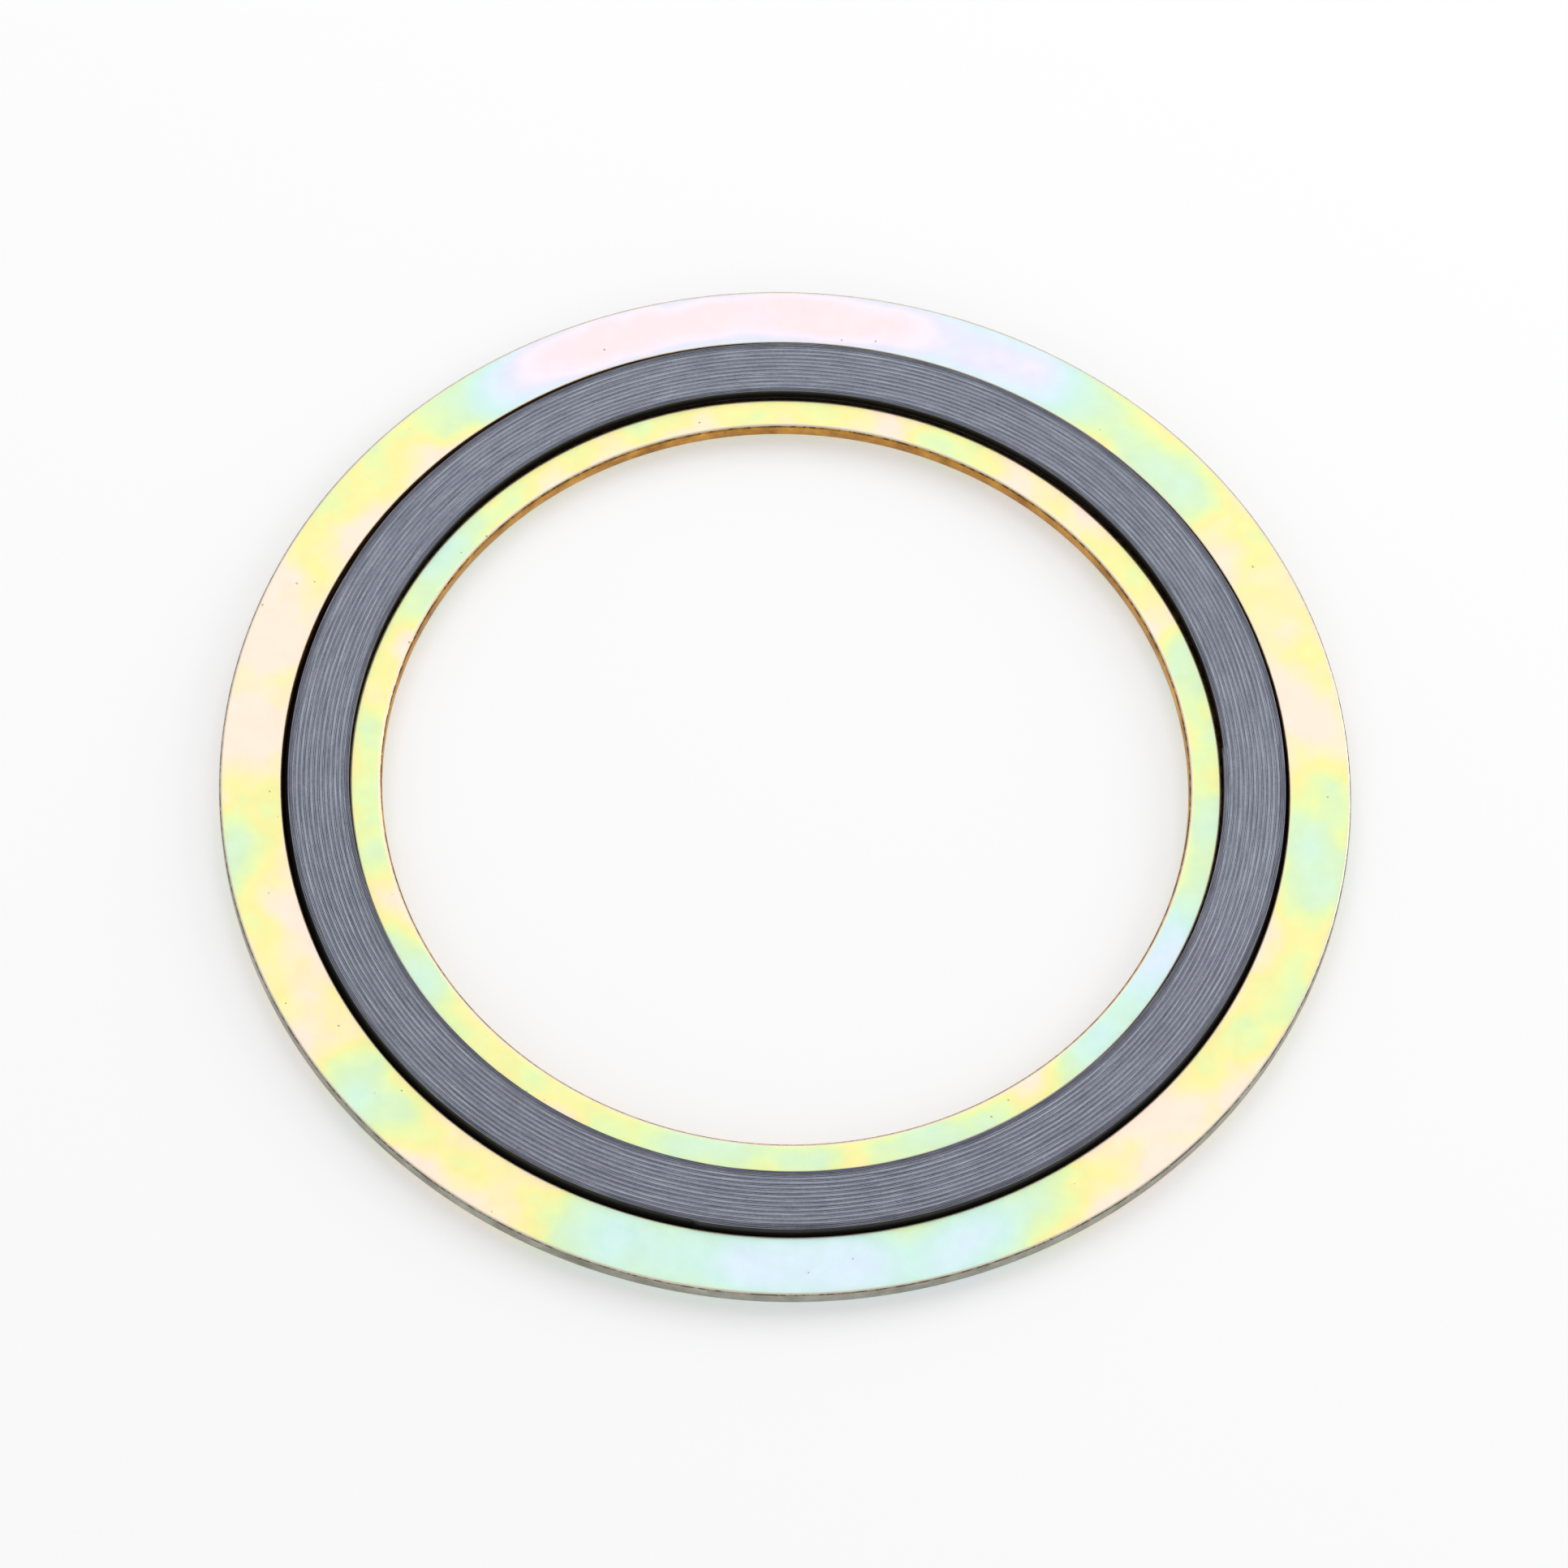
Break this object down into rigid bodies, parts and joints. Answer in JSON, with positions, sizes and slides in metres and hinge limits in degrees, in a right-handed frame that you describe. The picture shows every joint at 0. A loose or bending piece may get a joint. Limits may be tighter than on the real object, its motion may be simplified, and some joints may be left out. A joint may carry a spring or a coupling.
{
  "type": "spiral wound gasket",
  "caption": "Flat ring gasket for a flanged pipe joint: a wound metal and graphite sealing element between an inner and an outer centring ring.",
  "frame": {"origin": "centre of the gasket's underside, on the axis of the bore, where the winding's lower sealing face lies", "axes": "+Z along the bore's axis, square to the sealing faces; X and Y lie in the gasket's plane"},
  "size_m": [0.162, 0.162, 0.0052],
  "materials": {
    "ring_plating": "satin",
    "winding": "satin",
    "graphite": "matte"
  },
  "bodies": {
    "root": {"outer_ring": "ring_plating", "inner_ring": "ring_plating", "winding": "winding"}
  },
  "joints": []
}
